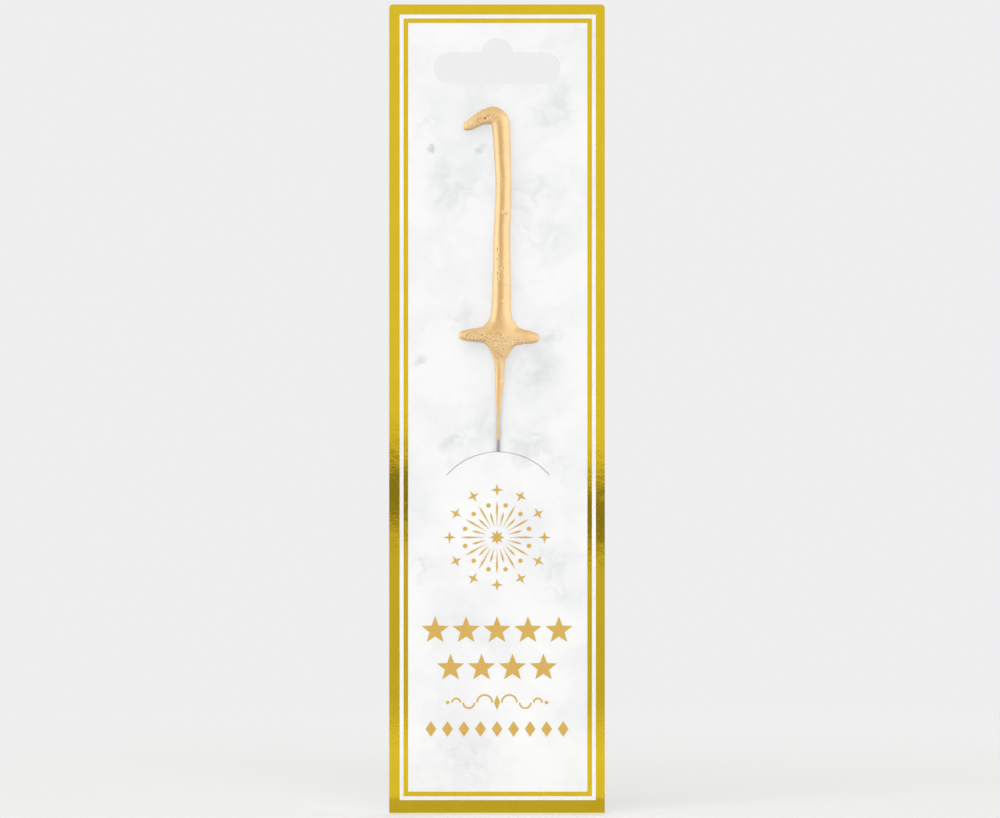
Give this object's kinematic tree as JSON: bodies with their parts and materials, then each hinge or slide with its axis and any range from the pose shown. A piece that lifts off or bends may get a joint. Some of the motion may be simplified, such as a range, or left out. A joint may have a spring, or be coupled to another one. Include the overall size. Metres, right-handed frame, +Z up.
{
  "type": "carded sparkler",
  "caption": "Gold-coated numeral sparkler on a wire stick, held by a die-cut tab in a tall hang card with foil borders and a euro hang slot.",
  "frame": {"origin": "centre of the round bump of the card's hang slot, at the card's mid thickness", "axes": "+Z up the card towards its top edge, -Y out of the printed front face, +X to the right as seen from the front"},
  "size_m": [0.06, 0.0141, 0.225],
  "materials": {
    "card": "coated white board with a soft grey marble print",
    "foil": "hot-stamped metallised gold film",
    "ink": "printed ochre gold ink",
    "wire": "bare drawn steel wire",
    "weld": "dull spot weld",
    "composition": "hard grey sparkler composition",
    "lacquer": "metallic gold lacquer, slightly grainy"
  },
  "bodies": {
    "card": {"backing_card": "card", "outer_foil_border": "foil", "inner_foil_border": "foil", "printed_burst": "ink", "printed_stars": "ink", "printed_scroll": "ink", "printed_lozenges": "ink"},
    "tab": {"retaining_tab": "card"},
    "sparkler": {"core_wire": "wire", "cross_wire": "wire", "spot_weld": "weld", "composition": "composition", "gold_lacquer": "lacquer"}
  },
  "joints": [
    {"name": "sparkler_pull", "type": "slide", "parent": "card", "child": "sparkler", "axis": [0.0209, -0.104, 0.9944], "range_m": [0, 0.08]},
    {"name": "tab_hinge", "type": "hinge", "parent": "card", "child": "tab", "pos_m": [0.0003, 0, -0.11705], "axis": [1, 0, 0], "range_deg": [0, 70], "stiffness_Nm_per_rad": 0.00001, "springref_deg": -5.96}
  ]
}
